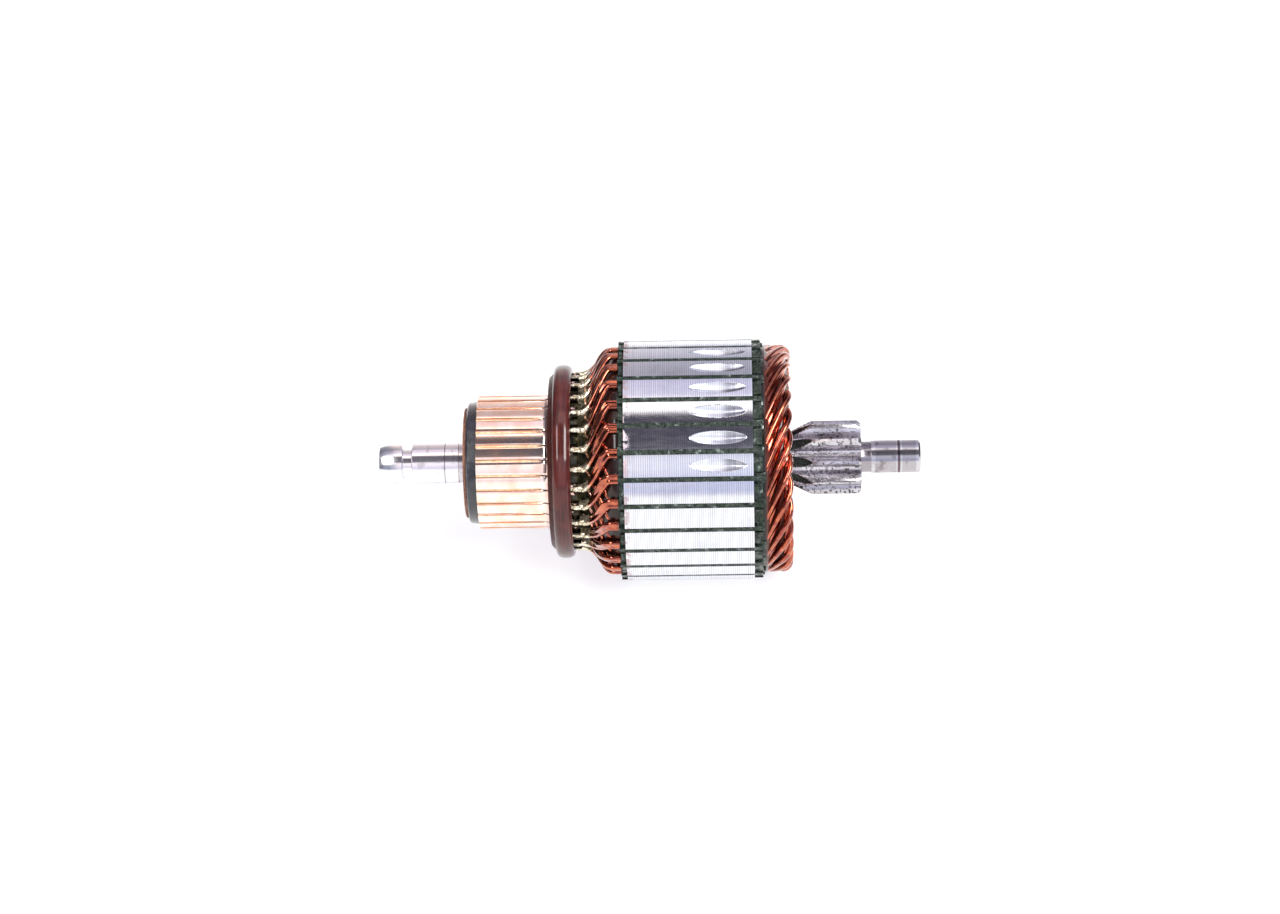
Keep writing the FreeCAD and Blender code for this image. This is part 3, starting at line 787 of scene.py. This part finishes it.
start, close = material("mica")
spot = start.add("TexCoord", out=3)
flake = spot.noise(1400.0, 4.0)
mica = flake.ease(0.3, 0.7).mix((0.70, 0.36, 0.15), (1.0, 0.66, 0.38))
close_to_riser = spot.part("X").ease(24.2 * mm, 25.6 * mm)
mica = (close_to_riser * 0.8).mix(mica, (0.07, 0.035, 0.025))
mica_finish = close(start.add("BsdfPrincipled", {}, {"Base Color": mica, "Roughness": 0.55}))
mica_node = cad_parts["mica_segments"]
mica_node.data.materials.clear()
mica_node.data.materials.append(mica_finish)


# Hub and washer: the bars stand on a hub of black phenolic moulding, whose shoulder shows in front
# of them. A washer of brown laminated fibre with a rough sawn edge lies before it.

start, close = material("black_moulding")
spot = start.add("TexCoord", out=3)
haze = spot.noise(900.0, 3.0)
moulded = haze.ease(0.3, 0.8).mix((0.008, 0.008, 0.011), (0.030, 0.030, 0.042))
moulding = close(start.add("BsdfPrincipled", {}, {
    "Base Color": moulded, "Roughness": haze * 0.15 + 0.16, "Coat Weight": 0.6, "Coat Roughness": 0.12}))
hub_profile = [(hub_start, 5.0), (hub_start, 13.75), (hub_start + 0.35, 14.1), (track_start - 0.1, 14.3),
               (track_start, 14.2), (track_start, 12.35), (riser_end, 12.35), (riser_end, 5.0)]
piece("moulded_hub", *lathe(hub_profile, 144, True), moulding, "black_moulding", ["commutator_hub"])

start, close = material("brown_fibre")
spot = start.add("TexCoord", out=3)
layer = (spot * (6000.0, 300.0, 300.0)).noise(1.0, 3.0)
speck = spot.noise(2200.0, 3.0, 0.7)
fibre = (layer * 0.6 + speck * 0.4).ease(0.35, 0.65).mix((0.09, 0.030, 0.018), (0.42, 0.20, 0.12))
bump = start.add("Bump", {}, {"Strength": 0.7, "Distance": 0.0001, "Height": speck})
brown_fibre = close(start.add("BsdfPrincipled", {}, {
    "Base Color": fibre, "Roughness": 0.7, "Normal": bump}))
fray_from = 0.012
fray_depth = 0.006
points, faces = lathe([(washer_start, 5.0), (washer_start, 12.7), (washer_start + 0.15, 12.8),
                       (hub_start - 0.1, 12.8), (hub_start, 12.7), (hub_start, 5.0)], 180, True)
for point in points:
    if math.hypot(point.y, point.z) > fray_from:
        fray = noise.noise(point * 2600.0) * fray_depth
        point.y *= 1 + fray
        point.z *= 1 + fray
piece("fibre_washer", points, faces, brown_fibre, "brown_fibre", ["front_washer"])


# Band: glass thread wound over the risers in brown resin, which holds the bars in at speed. Its
# shoulders are round and it shines like toffee.

band_start = riser_start + 1.0
band_width = 4.2
band_top = 22.6
band_round = 1.35
crown_power = 2.6
band_profile = []
for i in range(37):
    across = -math.cos(math.pi * i / 36)
    crown = math.sqrt(max(0.0, 1.0 - abs(across) ** crown_power))
    band_profile.append((band_start + band_width * (1 + across) / 2,
                         band_top - band_round + band_round * crown))
band_profile = [(band_start, riser_top)] + band_profile + [(band_start + band_width, riser_top)]
start, close = material("brown_resin")
spot = start.add("TexCoord", out=3)
thread = (spot * (5200.0, 160.0, 160.0)).noise(1.0, 2.0)
depth = spot.noise(260.0, 2.0)
resin = (thread * 0.5 + depth * 0.5).ease(0.35, 0.65).mix((0.040, 0.008, 0.008), (0.095, 0.017, 0.013))
bump = start.add("Bump", {}, {"Strength": 0.06, "Distance": 0.00005, "Height": thread + depth * 2.0})
brown_resin = close(start.add("BsdfPrincipled", {}, {
    "Base Color": resin, "Roughness": 0.3, "Specular IOR Level": 0.1, "Coat Weight": 0.75,
    "Coat Roughness": 0.025, "Normal": bump}))
piece("wound_band", *lathe(band_profile, 180, True), brown_resin, "brown_resin", ["riser_band"])
